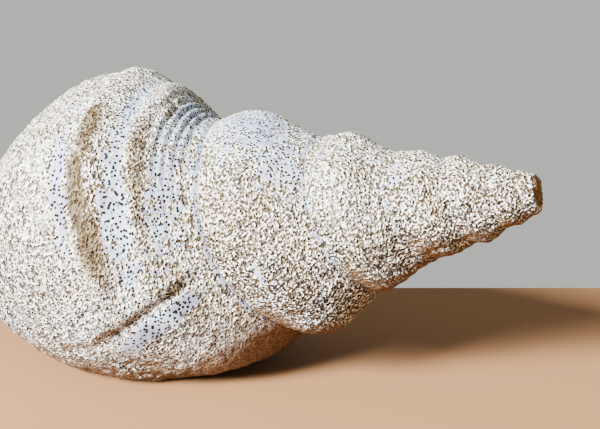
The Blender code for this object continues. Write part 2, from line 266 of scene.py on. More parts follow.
# %% The hollow behind the lip, in metres and shares
LIP_THICKNESS = 0.0034
WALL_THICKNESS = 0.0060
MOUTH_DEPTH = 250.0             # how far the hollow winds back, in degrees
MOUTH_OPENS = 35.0              # over which its outline turns from the lip's into an oval
MOUTH_TOP = 0.14
MOUTH_BOTTOM = 0.50
COLUMELLA_SHARE = 0.80
LEAST_GAP = 0.004
LIP_TOP_TAPER = 0.3             # shares across over which the lip thins out at its two ends
LIP_END_TAPER = 0.2
LIP_LARGEST_SHARE = 0.45        # the lip never fills more of the gap to the whorl before it
MOUTH_SIDE_POWER = 0.7          # a power under 1 makes the oval fuller
LIP_COLUMNS = 8                 # columns of the sheets, from the upper seam to the lower
BASE_COLUMNS = 17               # and from there to the end of the canal


def outside_at_height(back, down):
    upper = seam_height(back)
    lower = seam_height(back - 360.0)
    above = np.clip((down - upper) / (lower - upper), 0.0, 1.0)
    below = np.clip((down - lower) / (CANAL_END - lower), 0.0, 1.0)
    return outside(back, above + below)[0]


def wall_at_height(back, down):
    lower = seam_height(back)
    below = np.clip((down - lower) / (CANAL_END - lower), 0.0, 1.0)
    return outside(back + 360.0, 1.0 + below)[0]


def lip_inside(back, across):
    out, down = outside(back, across)
    gap = np.maximum(out - wall_at_height(back, down), 0.0)
    tapered = smooth_step(across, 0.0, LIP_TOP_TAPER) * smooth_step(2.0 - across, 0.0, LIP_END_TAPER)
    return out - np.minimum(LIP_THICKNESS * tapered, LIP_LARGEST_SHARE * gap), down


def hollow(back, across, inner):
    """The outer side of the hollow, or its inner side where inner is true."""
    lip_out, lip_down = lip_inside(back, across)
    wall_out, wall_down = outside(back + 360.0, across)
    follow_out = np.where(inner, wall_out, lip_out)
    follow_down = np.where(inner, wall_down, lip_down)
    columns = LIP_COLUMNS * np.clip(across, 0.0, 1.0) + BASE_COLUMNS * np.clip(across - 1.0, 0.0, 1.0)
    angle = np.where(inner, math.pi * (3.0 - across), math.pi * columns / (LIP_COLUMNS + BASE_COLUMNS))
    upper = seam_height(back)
    top = upper + MOUTH_TOP * (seam_height(back - 360.0) - upper)
    bottom = upper + MOUTH_BOTTOM * (CANAL_END - upper)
    oval_down = 0.5 * (top + bottom) - 0.5 * (bottom - top) * np.cos(angle)
    outer = outside_at_height(back, oval_down) - WALL_THICKNESS
    columella = np.minimum(wall_at_height(back, oval_down) * COLUMELLA_SHARE, outer - LEAST_GAP)
    side = np.sign(np.sin(angle)) * np.abs(np.sin(angle)) ** MOUTH_SIDE_POWER
    oval_out = 0.5 * (outer + columella) + 0.5 * (outer - columella) * side
    share = smooth_step(back, 0.0, MOUTH_OPENS)
    return follow_out + (oval_out - follow_out) * share, follow_down + (oval_down - follow_down) * share


print(f"behind a lip {1000.0 * LIP_THICKNESS:.1f} mm thick the hollow winds back {MOUTH_DEPTH:.0f} degrees")

# %% [markdown]
# ## Flat sheets, cut fine enough
# The surface could be lofted ring by ring, but rings that are fine enough for the last whorl are far too
# fine for the tip. So the shell is laid out as flat grids, one square to nine degrees of growth, and
# the squares are halved again and again where their sides would be too long on the real shell. Two sheets
# that share a seam have the same sides there, so both are halved alike and the seam closes without gaps.

# %% The sheets: kind, then from, to and steps, along the growth and across it
OUTSIDE, LIP_EDGE, OUTER_WALL, INNER_WALL = range(4)
GROWTH_STEP = 9.0
WHOLE_STEPS = int(FIRST_BACK // GROWTH_STEP)
TURN_STEPS = 40                 # the same squares, for the one turn that is bare down to the canal
EDGE_STEPS = 3
WALL_STEPS = 14
ABOVE = (0.0, 1.0, LIP_COLUMNS)
BELOW = (1.0, 2.0, BASE_COLUMNS)
SHEETS = (
    (OUTSIDE, (0.0, GROWTH_STEP * WHOLE_STEPS, WHOLE_STEPS), ABOVE),
    (OUTSIDE, (0.0, 360.0, TURN_STEPS), BELOW),
    (LIP_EDGE, (0.0, 1.0, EDGE_STEPS), ABOVE),
    (LIP_EDGE, (0.0, 1.0, EDGE_STEPS), BELOW),
    (OUTER_WALL, (0.0, 1.0, WALL_STEPS), ABOVE),
    (OUTER_WALL, (0.0, 1.0, WALL_STEPS), BELOW),
    (INNER_WALL, (0.0, 1.0, WALL_STEPS), BELOW),
)


def add_sheet(mesh, kind, along, across):
    steps = Matrix.Diagonal((0.5 * (along[1] - along[0]), 0.5 * (across[1] - across[0]), 1.0, 1.0))
    middle = Vector((0.5 * (along[0] + along[1]), 0.5 * (across[0] + across[1]), kind))
    bmesh.ops.create_grid(
        mesh, x_segments=along[2], y_segments=across[2], size=1.0, matrix=Matrix.Translation(middle) @ steps
    )


shell_mesh = bmesh.new()
for sheet in SHEETS:
    add_sheet(shell_mesh, *sheet)
print(len(SHEETS), "sheets,", len(shell_mesh.faces), "squares before they are cut finer")

# %% [markdown]
# ## Bending the sheets
# One function takes a place on any sheet to its spot on the shell. A place is turned round the axis by how
# far back it lies, and a little more near the scar, because the scar leans. The edge of the lip runs from
# its outer to its inner side and swells forward a little, since a real lip is rounded.

# %% Bend places on the sheets onto the coil
LIP_ROUNDING = 0.0012           # how far the lip's edge swells forward between its two sides, in metres
MOUTH_RING_POWER = 1.5          # over 1 puts the rings of the hollow closer together just behind the lip


def on_coil(places):
    along, across, kind = places.T
    depth = MOUTH_DEPTH * np.clip(along, 0.0, 1.0) ** MOUTH_RING_POWER
    outer_lip = outside(0.0 * across, across)
    inner_lip = lip_inside(0.0 * across, across)
    back = np.where(kind == OUTSIDE, along, np.where(kind == LIP_EDGE, 0.0, depth))
    surface = outside(back, across)
    walls = hollow(back, across, kind == INNER_WALL)
    edge = [a + (b - a) * along for a, b in zip(outer_lip, inner_lip)]
    out, down = [
        np.choose(kind.astype(int), choices, mode="clip")
        for choices in zip(surface, edge, walls, walls)
    ]
    thickness = np.abs(outer_lip[0] - inner_lip[0])
    forward = LIP_ROUNDING * np.sin(math.pi * np.clip(along, 0.0, 1.0))
    forward = forward * np.minimum(thickness / LIP_THICKNESS, 1.0)
    forward = np.degrees(np.where(kind == LIP_EDGE, forward, 0.0) / np.maximum(out, LEAST_GAP))
    leaning = np.where(kind == OUTSIDE, lean(back, across), 0.0)
    turned = np.radians(forward - back - leaning)
    return np.stack([out * np.cos(turned), -out * np.sin(turned), -down], axis=1)


lip_shoulder = on_coil(np.array([[0.0, SHOULDER_AT, float(OUTSIDE)]]))[0]
print("the lip's shoulder, before the shell is laid down:", lip_shoulder.round(4))

# %% [markdown]
# ## Cutting the sheets finer
# A side is measured on the bent shell but cut on the flat sheet, where its middle is an exact place. Sides
# of 1.45 mm are short enough to carry the nodules. The hollow is smooth and dark, so its sides may be longer.

# %% Halve every side that would be too long on the real shell
LONGEST_SIDE = 0.00145          # metres, on the outside
LONGEST_INSIDE = 0.0034         # the hollow is smooth and dark, so it needs less
HALVINGS = 5


def places_of(mesh):
    return np.array([v.co for v in mesh.verts])


def cut_finer(mesh):
    mesh.verts.index_update()
    real = on_coil(places_of(mesh))
    ends = np.array([[v.index for v in edge.verts] for edge in mesh.edges])
    length = np.linalg.norm(real[ends[:, 0]] - real[ends[:, 1]], axis=1)
    limits = [
        LONGEST_INSIDE if edge.verts[0].co.z > LIP_EDGE and not edge.is_boundary else LONGEST_SIDE
        for edge in mesh.edges
    ]
    too_long = [edge for edge, size, limit in zip(mesh.edges, length, limits) if size > limit]
    bmesh.ops.subdivide_edges(mesh, edges=too_long, cuts=1, use_grid_fill=True)
    return len(too_long)


for halving in range(HALVINGS):
    print("halving", halving + 1, "cut", cut_finer(shell_mesh), "sides")

# %% [markdown]
# ## One closed skin
# Now every point goes to its spot, and sheets that share a seam become one. The tip, the canal's end and the
# deep end of the hollow are still open. Each is filled and given rings of points, so that a break can be
# rough. The flat places stay on the points as layers, for the masks and the relief.

# %% Bend the sheets and close the seams and the ends
MERGE_WITHIN = 0.00003          # metres
CAP_RINGS = 6                   # rings of points across a broken end
layers = {name: shell_mesh.verts.layers.float.new(name) for name in ("back", "across", "kind", "broken")}
for vert, spot in zip(shell_mesh.verts, on_coil(places_of(shell_mesh))):
    vert[layers["back"]], vert[layers["across"]], vert[layers["kind"]] = vert.co
    vert.co = spot
bmesh.ops.remove_doubles(shell_mesh, verts=shell_mesh.verts, dist=MERGE_WITHIN)
open_sides = [edge for edge in shell_mesh.edges if edge.is_boundary]
caps = bmesh.ops.holes_fill(shell_mesh, edges=open_sides, sides=0)["faces"]
print("closed", len(caps), "ends:", [len(face.verts) for face in caps], "points round them")
cap_middles = bmesh.ops.poke(shell_mesh, faces=caps)["verts"]
for cap_middle in cap_middles:
    rim_point = cap_middle.link_edges[0].other_vert(cap_middle)
    for name in ("back", "across", "kind"):
        cap_middle[layers[name]] = rim_point[layers[name]]
    cap_middle[layers["broken"]] = 1.0
spokes = [edge for cap_middle in cap_middles for edge in cap_middle.link_edges]
cut = bmesh.ops.subdivide_edges(shell_mesh, edges=spokes, cuts=CAP_RINGS)
for part in cut["geom_inner"]:
    if isinstance(part, bmesh.types.BMVert):
        part[layers["broken"]] = 1.0
bmesh.ops.recalc_face_normals(shell_mesh, faces=shell_mesh.faces)
shell_mesh.normal_update()

# %% [markdown]
# ## Where the surface is smooth, stained or tinted
# Borers left some places alone. There the shell is smooth and lilac-grey, with single round holes: in the
# furrow below the shoulder, along the seams, behind the scar and on the upper side of the second whorl.
# Painting masks by hand would be lost with the next change of shape, so each such place is a soft patch at
# its own spot of the growth. Tables like these also place the stain, the tints and the underside's painted
# shade.

# %% Patches: degrees back, share across, widths of both, strength
SMOOTH_PATCHES = (
    (185.0, 0.465, 42.0, 0.055, 1.0),
    (210.0, 0.50, 20.0, 0.11, 0.85),
    (196.0, 0.22, 38.0, 0.13, 0.72),
    (150.0, 0.14, 30.0, 0.11, 0.80),
    (196.0, 0.92, 20.0, 0.055, 0.85),
    (188.0, 0.59, 9.0, 0.05, 0.6),
    (514.0, 0.50, 22.0, 0.34, 0.95),
    (540.0, 0.16, 20.0, 0.14, 0.8),
    (889.0, 0.80, 14.0, 0.12, 0.5),
    (1262.0, 0.78, 20.0, 0.20, 0.6),
    (601.0, 0.58, 4.0, 0.05, 0.9),
    (60.0, 0.40, 26.0, 0.16, 0.8),
    (20.0, 0.80, 24.0, 0.20, 0.6),
    (330.0, 0.30, 22.0, 0.18, 0.7),
    (700.0, 0.45, 20.0, 0.20, 0.7),
    (420.0, 0.55, 30.0, 0.18, 0.6),
)
CRUST_PATCHES = (               # taken off the smooth ones
    (170.0, 0.33, 22.0, 0.040, 1.0),
    (238.0, 0.12, 12.0, 0.10, 0.5),
    (208.0, 0.70, 22.0, 0.06, 1.0),
)
STAINS = (
    (200.0, 0.760, 10.0, 0.055, 1.3),
    (217.0, 0.70, 9.0, 0.075, 1.0),
    (177.0, 0.69, 9.0, 0.060, 1.0),
    (227.0, 0.66, 10.0, 0.060, 0.6),
    (190.0, 0.33, 26.0, 0.045, 0.50),
    (247.0, 0.80, 5.0, 0.060, 0.45),
    (1115.0, 0.80, 16.0, 0.14, 0.4),
    (40.0, 0.90, 14.0, 0.060, 0.6),
    (460.0, 0.80, 16.0, 0.080, 0.5),
)
PALE_PATCHES = (                # crust with shallow, clean pits
    (215.0, 0.92, 45.0, 0.11, 0.40),
    (236.0, 0.62, 12.0, 0.30, 0.35),
    (925.0, 0.60, 20.0, 0.20, 0.30),
    (142.0, 0.27, 22.0, 0.16, 0.55),
    (292.0, 0.42, 20.0, 0.34, 0.90),
)
UNDERSIDE_SHADE_PATCHES = (                # painted shade, where the underside of the last whorl lies in shadow
    (305.0, 0.42, 19.0, 0.34, 2.8),
)
PINK_PATCHES = (
    (1506.0, 0.15, 24.0, 0.36, 0.85),
    (1860.0, 0.50, 50.0, 0.60, 0.50),
    (2250.0, 0.50, 60.0, 0.60, 0.30),
    (550.0, 0.12, 14.0, 0.16, 0.25),
    (224.0, 0.80, 12.0, 0.16, 0.22),
    (560.0, 0.55, 22.0, 0.25, 0.20),
)


def patches(table, back, across):
    mask = 0.0 * back
    for middle_back, middle_across, back_width, across_width, strength in table:
        spot = bell(back, middle_back, back_width) * bell(across, middle_across, across_width)
        mask = np.maximum(mask, strength * spot)
    return mask


print(len(SMOOTH_PATCHES), "smooth places and", len(STAINS), "stains")

# %% [markdown]
# ## Masks on the points
# The patches become masks, which are kept on the points. The relief and the finish both read them, so colour
# and shape always agree. The smooth strip behind the scar, the smooth rims of the seams and the fine cuts of
# scar and seam are added here, since they follow lines and not spots. The finish paints the cuts dark:
# painted shade in these creases, over the seams' own dark olive.

# %% Masks, in degrees back and shares across
SCAR_STRIP_AT, SCAR_STRIP_WIDTH = 7.0, 2.6      # the smooth strip, this far back from the scar
SCAR_CUT_AT, SCAR_CUT_WIDTH = 0.6, 0.7          # the fine cut in its groove
SCAR_SHOWN = (0.10, 0.25)                       # where both begin
SCAR_SHOWN_TO, SCAR_SHOWN_FADE = 0.95, 0.2
STRIP_STRENGTH, RIM_STRENGTH, MOST_SMOOTH = 1.4, 0.9, 1.5
UPPER_RIM, LOWER_RIM = 0.018, 0.035             # widths of a seam's smooth rims, on its two sides
OLDEST_RIM, FULL_RIM = 1500.0, 700.0
CRUSTED_RIM_AT, CRUSTED_RIM_WIDTH, CRUSTED_RIM = 600.0, 35.0, 0.5
OLDEST_CUT, FULL_CUT = 1600.0, 500.0
COARSE_FROM, COARSE_OVER = 380.0, 40.0          # the last whorl has the coarser pits
NEAR_SEAM = 1e-4                                # a point this near to a seam is on it
NEAR_TURN = 1e-3


def layer_values(name):
    layer = shell_mesh.verts.layers.float[name]
    return np.array([vert[layer] for vert in shell_mesh.verts])


def keep_mask(name, values):
    layer = shell_mesh.verts.layers.float.new(name)
    for vert, value in zip(shell_mesh.verts, values):
        vert[layer] = value


line_back, across, kind, broken = [layer_values(name) for name in ("back", "across", "kind", "broken")]
on_outside = (kind == OUTSIDE).astype(float) * (1.0 - broken)
back = line_back + lean(line_back, across)
along_scar = smooth_step(across, *SCAR_SHOWN) * smooth_step(SCAR_SHOWN_TO - across, 0.0, SCAR_SHOWN_FADE)
scar_strip = bell(line_back, SCAR_BACK + SCAR_STRIP_AT, SCAR_STRIP_WIDTH) * along_scar
scar_line = bell(line_back, SCAR_BACK + SCAR_CUT_AT, SCAR_CUT_WIDTH) * along_scar
covered = (line_back > 360.0).astype(float)
seam_rim = np.maximum(bell(across, 0.0, UPPER_RIM), bell(across, 1.0, LOWER_RIM) * covered)
clean_rim = 1.0 - CRUSTED_RIM * bell(back, CRUSTED_RIM_AT, CRUSTED_RIM_WIDTH)
seam_rim = seam_rim * smooth_step(-back, -OLDEST_RIM, -FULL_RIM) * clean_rim
smooth = patches(SMOOTH_PATCHES, back, across) - patches(CRUST_PATCHES, back, across)
smooth = np.maximum(smooth, np.maximum(STRIP_STRENGTH * scar_strip, RIM_STRENGTH * seam_rim))
smooth = np.clip(smooth, 0.0, MOST_SMOOTH) * on_outside
keep_mask("smooth", smooth)
keep_mask("stain", patches(STAINS, back, across) * on_outside)
keep_mask("pink", patches(PINK_PATCHES, back, across) * on_outside)
keep_mask("inside", (kind > LIP_EDGE).astype(float) * (1.0 - broken))
upper_seam = across < NEAR_SEAM
lower_seam = (across > 1.0 - NEAR_SEAM) & (across < 1.0 + NEAR_SEAM) & (line_back > 360.0 - NEAR_TURN)
on_seam = (upper_seam | lower_seam) * on_outside * smooth_step(-back, -OLDEST_CUT, -FULL_CUT)
# the dark cuts of seams and scar: painted shade in these creases, over the seams' own olive
keep_mask("seam", np.maximum(on_seam, scar_line * on_outside))
keep_mask("coarse", smooth_step(COARSE_FROM - back, 0.0, COARSE_OVER) * on_outside)
keep_mask("pitted", (1.0 - patches(PALE_PATCHES, back, across)) * on_outside)
print(f"smooth on {100.0 * np.mean(smooth > 0.5):.0f}% of the points; {int(on_seam.sum())} points on seams")

# %% [markdown]
# ## Single large holes
# A few bore holes are wide enough for the mesh. Cutting them with Booleans would leave sharp rims, but the
# real rims are worn, so each hole is a bell that the relief pushes in.

# %% Large holes: degrees back, share across, radius in metres
BORES = (
    (591.0, 0.59, 0.0014),
    (594.0, 0.55, 0.0009),
    (147.0, 0.27, 0.0016),
    (72.0, 0.62, 0.0015),
    (318.0, 0.35, 0.0013),
    (455.0, 0.30, 0.0012),
    (780.0, 0.55, 0.0012),
)
BORE_DEPTH = 0.0016
BORE_WIDTH = 0.7                # width of the bell, in radii of the hole


def bored(points):
    depth = 0.0 * points[:, 0]
    for bore_back, bore_across, radius in BORES:
        middle_of_bore = on_coil(np.array([[bore_back, bore_across, float(OUTSIDE)]]))[0]
        distance = np.linalg.norm(points - middle_of_bore, axis=1)
        depth = np.maximum(depth, bell(distance, 0.0, BORE_WIDTH * radius))
    return depth


points = places_of(shell_mesh)
bores = bored(points) * on_outside
keep_mask("bore", bores)
print(len(BORES), "large holes,", int((bores > 0.5).sum()), "points in them")

# %% [markdown]
# ## Relief
# The crust stands up in hummocks and nodules, which also roughen the outline. Finer pits come from the
# finish. A displace modifier could do this, but here one sum of heights keeps every form under control. It
# moves each point along its own normal, by noise that is read at its place in space, so it has no seams.

# %% Relief in metres
HUMMOCK_SIZE = 0.010
HUMMOCK_RISE = 0.00055
HUMMOCK_EVERYWHERE = 0.35       # share of the hummocks that smooth places have too
HUMMOCK_ON_CRUST = 0.65
NODULE_SIZE = 0.0034
NODULE_RISE = 0.00075
NODULE_EDGE = 0.45              # where a nodule's side crosses the mean surface, in cells
NOISE_LAYERS = 3
CRUST_MISSING = 0.85            # share of the nodules that a smooth place lacks
FINE_CORD_GAP = 0.053           # share of the whorl between two fine cords near the seam
FINE_CORD_RISE = 0.0007
FINE_CORDS_FROM = (0.04, 0.09)  # shares across between which they begin
FINE_CORDS_TO = 0.34
FINE_CORDS_FADE = 0.08
FINE_CORDS_BACK, FINE_CORDS_WIDTH = 145.0, 40.0
SEAM_DEPTH = 0.0011
SCAR_CUT = 0.0011
RIM_RISE = 0.0003
BREAK_SIZE = 0.0032
BREAK_ROUGHNESS = 0.0018


def noise_at(points, size):
    return np.array([noise.fractal(Vector(p) / size, 1.0, 2.0, NOISE_LAYERS) for p in points])


def cell_distance(points, size):
    """How far each point is from the middle of its cell, in cells."""
    return np.array([noise.voronoi(Vector(p) / size)[0][0] for p in points])


crust = on_outside * (1.0 - CRUST_MISSING * np.minimum(smooth, 1.0))
fine_cords = np.cos(2.0 * math.pi * across / FINE_CORD_GAP) * smooth_step(across, *FINE_CORDS_FROM)
fine_cords = fine_cords * smooth_step(FINE_CORDS_TO - across, 0.0, FINE_CORDS_FADE)
fine_cords = fine_cords * bell(back, FINE_CORDS_BACK, FINE_CORDS_WIDTH) * on_outside
hummocked = HUMMOCK_EVERYWHERE * on_outside + HUMMOCK_ON_CRUST * crust
rise = HUMMOCK_RISE * noise_at(points, HUMMOCK_SIZE) * hummocked
rise = rise + NODULE_RISE * (NODULE_EDGE - cell_distance(points, NODULE_SIZE)) * crust
rise = rise + FINE_CORD_RISE * fine_cords
rise = rise + RIM_RISE * seam_rim * on_outside - SEAM_DEPTH * on_seam - SCAR_CUT * scar_line * on_outside
rise = rise - BORE_DEPTH * bores
rise = rise + BREAK_ROUGHNESS * noise_at(points, BREAK_SIZE) * broken
for vert, height in zip(shell_mesh.verts, rise):
    vert.co += vert.normal * height
print(f"relief from {1000.0 * rise.min():.2f} to {1000.0 * rise.max():.2f} mm")

# %% [markdown]
# ## Lying on its side
# The shell rests mouth down on its swollen last whorl, with the spire a little raised. It is turned as the
# solid was, and what would lie below the table is cut off, because the real one is worn flat there. Only
# now is it known which places face down, where the finish paints shade.

# %% Lay the shell down as it rests
ROLL = math.radians(43.1)
LIFT = math.radians(11.9)
WEAR_HEIGHT = -0.0878           # the underside is worn flat at this height
UNDERSIDE_SHADE_FROM, UNDERSIDE_SHADE_FULL = 0.40, 0.85       # painted shade of the underside, by how much a place faces down, where -1 is up and 1 is down
DOWN_SHADE_FROM, DOWN_SHADE_FULL = -0.60, 0.50    # gaps and pits are painted darker, as shade, the less they face up
CUT_WITHIN = 1e-6
tip_over = Matrix.Rotation(math.radians(90.0) - LIFT, 4, "Y") @ Matrix.Rotation(ROLL, 4, "Z")
bmesh.ops.transform(shell_mesh, matrix=tip_over, verts=shell_mesh.verts)
points = places_of(shell_mesh)
cad_low, cad_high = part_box("shell")
print("the packed solid reaches from", cad_low, "to", cad_high)
middle = 0.5 * (points.min(axis=0) + points.max(axis=0))
to_table = Vector((-middle[0], -middle[1], -WEAR_HEIGHT))
bmesh.ops.translate(shell_mesh, verts=shell_mesh.verts, vec=to_table)
shell_mesh.normal_update()
facing_down = np.array([-vert.normal.z for vert in shell_mesh.verts])
# Painted shade: places that face down, and a patch of the underside that lies in shadow, get the brown of
# shade lit warm by the table.
shaded_underside_patch = patches(UNDERSIDE_SHADE_PATCHES, back, across) * on_outside
dirt = np.minimum(np.maximum(smooth_step(facing_down, UNDERSIDE_SHADE_FROM, UNDERSIDE_SHADE_FULL), shaded_underside_patch), 1.0)
keep_mask("dirt", dirt * (1.0 - layer_values("inside")))
# Painted shade: gaps and pits turn darker the more a place faces down.
keep_mask("grime", smooth_step(facing_down, DOWN_SHADE_FROM, DOWN_SHADE_FULL))
everything = [*shell_mesh.verts, *shell_mesh.edges, *shell_mesh.faces]
bmesh.ops.bisect_plane(
    shell_mesh,
    geom=everything,
    dist=CUT_WITHIN,
    plane_co=(0.0, 0.0, 0.0),
    plane_no=(0.0, 0.0, -1.0),
    clear_outer=True,
)
cut_sides = [edge for edge in shell_mesh.edges if edge.is_boundary]
worn_flats = bmesh.ops.holes_fill(shell_mesh, edges=cut_sides, sides=0)["faces"]
bmesh.ops.triangulate(shell_mesh, faces=shell_mesh.faces)
print(len(worn_flats), "worn flats,", len(shell_mesh.faces), "triangles")

# %% [markdown]
# ## The piece
# The skin becomes one object, shaded smooth. Its origin stays at that of the frame, since its points are
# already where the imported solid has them.

# %% Make the piece
data = bpy.data.meshes.new("horse_conch_shell")
shell_mesh.to_mesh(data)
shell_mesh.free()
data.shade_smooth()
horse_conch_shell = bpy.data.objects.new("horse_conch_shell", data)
bpy.context.scene.collection.objects.link(horse_conch_shell)
print(horse_conch_shell.name, "has", len(data.vertices), "points")

# %% [markdown]
# ## The finish
# The real surface is bleached aragonite, the mineral of sea shells, with its glossy skin gone. The animal
# laid it down in layers, and sun, sand and borers made it a chalk that scatters light: cream on the nodules,
# lilac-grey where it stayed smooth, and brown in the bore holes, where dirt stays. Holes, gaps, creases and
# the underside are also painted darker, as shade. A painted picture would show seams, so colour comes from
# patterns in space. The same pattern darkens a hole and sinks it, so colour and shade stay together from
# every side.

# %% One function for every node
def linear(hex_colour):
    """A linear colour from an sRGB hex value."""
    parts = [int(hex_colour[i:i + 2], 16) / 255.0 for i in (1, 3, 5)]
    return (*[part / 12.92 if part <= 0.04045 else ((part + 0.055) / 1.055) ** 2.4 for part in parts], 1.0)


def add_node(kind, output, inputs, **settings):
    """Adds a node and returns one of its outputs. An input is a number, a hex colour or a node's output."""
    node = tree.nodes.new("ShaderNode" + kind)
    for name, value in settings.items():
        setattr(node, name, value)
    for socket, value in inputs.items():
        if isinstance(value, bpy.types.NodeSocket):
            tree.links.new(value, node.inputs[socket])
        else:
            node.inputs[socket].default_value = linear(value) if isinstance(value, str) else value
    return node.outputs[output]


chalk = bpy.data.materials.new("bleached bored aragonite")
chalk.use_nodes = True
tree = chalk.node_tree
surface = tree.nodes["Principled BSDF"]
place = add_node("TexCoord", "Object", {})
MASKS = "smooth stain pink inside broken seam bore dirt grime coarse pitted across".split()
masks = {name: add_node("Attribute", "Fac", {}, attribute_name=name) for name in MASKS}
print("the finish reads", len(masks), "masks")

# %% [markdown]
# ## Where the crust is, and where it is smooth
# The edge between crust and smooth shell is ragged on the real one, so the soft mask is broken up by a noise
# a few millimetres wide before it is cut. The edge of the golden stain is broken up in the same way.

# %% Ragged edges
MM = 0.001
RAGGED_SIZE = 3.6               # millimetres
RAGGED_DETAIL = 3.0
RAGGEDNESS = 2.2
SMOOTH_FROM, SMOOTH_TO = 1.42, 1.78
STAIN_SPREAD = 0.45
STAIN_FROM, STAIN_TO = 0.10, 0.75
SOFT_CUT = "SMOOTHSTEP"

ragged = add_node("TexNoise", 0, {0: place, 2: 1.0 / (RAGGED_SIZE * MM), 3: RAGGED_DETAIL})
smooth_sum = add_node("Math", 0, {0: ragged, 1: RAGGEDNESS, 2: masks["smooth"]}, operation="MULTIPLY_ADD")
smooth_limits = {0: smooth_sum, 1: SMOOTH_FROM, 2: SMOOTH_TO}
smooth_here = add_node("MapRange", 0, smooth_limits, interpolation_type=SOFT_CUT)
crust_here = add_node("Math", 0, {0: 1.0, 1: smooth_here}, operation="SUBTRACT")
outside_only = add_node("Math", 0, {0: 1.0, 1: masks["inside"]}, operation="SUBTRACT")
stain_sum = add_node("Math", 0, {0: ragged, 1: STAIN_SPREAD}, operation="ADD")
stain_sum = add_node("Math", 0, {0: stain_sum, 1: masks["stain"]}, operation="MULTIPLY")
stained = add_node("MapRange", 0, {0: stain_sum, 1: STAIN_FROM, 2: STAIN_TO}, interpolation_type=SOFT_CUT)
print("edges broken up over", RAGGED_SIZE, "mm")

# %% [markdown]
# ## Bore holes
# A hole is where a place lies close to the middle of its cell in space. In the smooth shell the cells are
# left round. In the crust they are pulled about by noise, because there the holes have run together. Sizes
# were read off the photograph against the size of the shell: holes of up to 1.3 mm in the smooth places, and
# pits of 1.3 to 2.2 mm in the crust, in cells of 1.4 to 2.4 mm.

# %% Holes, in millimetres
HOLE_GAP, HOLE_RADIUS = 1.55, 0.64      # single holes in the smooth places of the last whorl
SMALL_GAP, SMALL_RADIUS = 1.40, 0.58    # and of the whorls before it
FINE_GAP, FINE_RADIUS = 1.50, 0.66      # pits in the crust
COARSE_GAP, COARSE_RADIUS = 2.40, 1.10  # pits in the crust of the last whorl
PULL = 1.0                              # how far pits in the crust are pulled out of round
PULL_SIZE, PULL_DETAIL = 2.2, 1.0
HOLE_EDGE = 0.72                        # where a hole reaches its depth, as a share of its radius
MIX_SIZE, MIX_DETAIL = 16.0, 2.0        # coarse and fine pits take turns over this size
MIX_FROM, MIX_TO = 0.36, 0.56

pulled = add_node("TexNoise", "Color", {0: place, 2: 1.0 / (PULL_SIZE * MM), 3: PULL_DETAIL})
pulled = add_node("VectorMath", 0, {0: pulled, 1: (PULL * MM,) * 3, 2: place}, operation="MULTIPLY_ADD")
pits = {}
for name, where, gap, radius in (
    ("hole", place, HOLE_GAP, HOLE_RADIUS),
    ("small", place, SMALL_GAP, SMALL_RADIUS),
    ("fine", pulled, FINE_GAP, FINE_RADIUS),
    ("coarse", pulled, COARSE_GAP, COARSE_RADIUS),
):
    from_middle = add_node("TexVoronoi", "Distance", {0: where, 2: 1.0 / (gap * MM)})
    limits = {0: from_middle, 1: radius / gap, 2: HOLE_EDGE * radius / gap}
    pits[name] = add_node("MapRange", 0, limits, interpolation_type=SOFT_CUT)
mixed_sizes = add_node("TexNoise", 0, {0: place, 2: 1.0 / (MIX_SIZE * MM), 3: MIX_DETAIL})
mixed_sizes = add_node("MapRange", 0, {0: mixed_sizes, 1: MIX_FROM, 2: MIX_TO}, interpolation_type=SOFT_CUT)
coarse_here = add_node("Math", 0, {0: mixed_sizes, 1: masks["coarse"]}, operation="MULTIPLY")
crust_pits = add_node("Mix", 0, {0: coarse_here, 2: pits["fine"], 3: pits["coarse"]})
crust_pits = add_node("Math", 0, {0: crust_pits, 1: crust_here}, operation="MULTIPLY")
crust_pits = add_node("Math", 0, {0: crust_pits, 1: masks["pitted"]}, operation="MULTIPLY")
single_holes = add_node("Mix", 0, {0: masks["coarse"], 2: pits["small"], 3: pits["hole"]})
clean_holes = add_node("Math", 0, {0: single_holes, 1: smooth_here}, operation="MULTIPLY")
holes = add_node("Math", 0, {0: single_holes, 1: crust_pits}, operation="MAXIMUM")
holes = add_node("Math", 0, {0: holes, 1: masks["bore"]}, operation="MAXIMUM")
holes = add_node("Math", 0, {0: holes, 1: outside_only}, operation="MULTIPLY")
print(len(pits), "kinds of pit")

# %% [markdown]
# ## Gaps between the nodules
# The crust itself is a heap of nodules about a millimetre wide, with crooked gaps between them that hold
# dirt. A fine noise, cut where it is low, gives both. On the flanks the nodules stand in rows along the
# whorl, as the growth did. Where there is stain the gaps are wider, and they are wider too the more a place
# faces down, which paints shade on the lower flanks.

# %% Gaps, in millimetres and shares
NODULE, NODULE_DETAIL = 0.95, 0.8
GAP_FROM, GAP_TO = 0.50, 0.40
ROWS_PER_WHORL = 16.0
ROW_STRENGTH = 0.05
WIDER_BY_STAIN, WIDER_IN_SHADE = 0.22, 0.06

grain = add_node("TexNoise", 0, {0: place, 2: 1.0 / (NODULE * MM), 3: NODULE_DETAIL})
row_phase = add_node("Math", 0, {0: masks["across"], 1: ROWS_PER_WHORL * TURN}, operation="MULTIPLY")
row_wave = add_node("Math", 0, {0: row_phase}, operation="COSINE")
# the rows follow the mask of painted shade, so they show on the flanks that face down
row_wave = add_node("Math", 0, {0: row_wave, 1: masks["grime"]}, operation="MULTIPLY")
in_rows = add_node("Math", 0, {0: row_wave, 1: ROW_STRENGTH, 2: grain}, operation="MULTIPLY_ADD")
worn_grain = add_node("Math", 0, {0: stained, 1: -WIDER_BY_STAIN, 2: in_rows}, operation="MULTIPLY_ADD")
